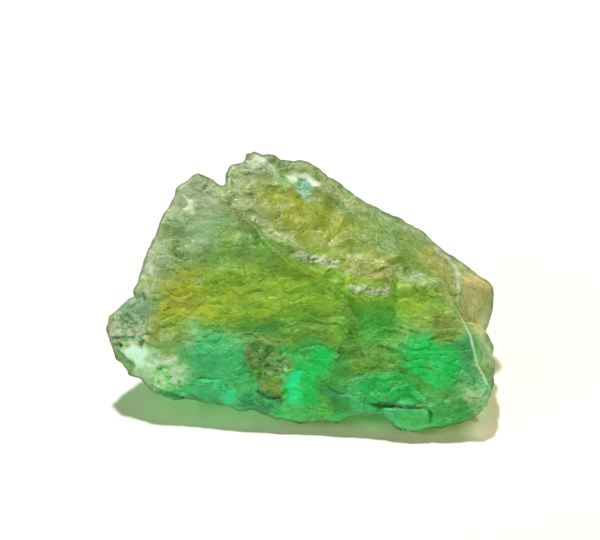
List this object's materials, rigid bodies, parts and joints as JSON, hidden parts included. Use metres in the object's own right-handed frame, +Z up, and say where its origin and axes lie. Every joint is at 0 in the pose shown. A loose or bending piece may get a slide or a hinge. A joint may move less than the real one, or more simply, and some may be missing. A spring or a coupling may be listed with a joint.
{
  "type": "rough emerald crystal fragment",
  "caption": "Rough, cloudy green beryl fragment with a flat rippled front face, a jagged diagonal ledge, a sloping upper slab and a flat foot to rest on.",
  "frame": {"origin": "on the flat foot, under the middle of the stone's box", "axes": "+X along the stone from its overhanging nose to its right block, +Y towards its broken back, +Z up"},
  "size_m": [0.0244, 0.0146, 0.013],
  "materials": {
    "emerald": "natural broken crystal, cloudy and translucent, half glossy"
  },
  "bodies": {
    "root": {"emerald": "emerald"}
  },
  "joints": []
}
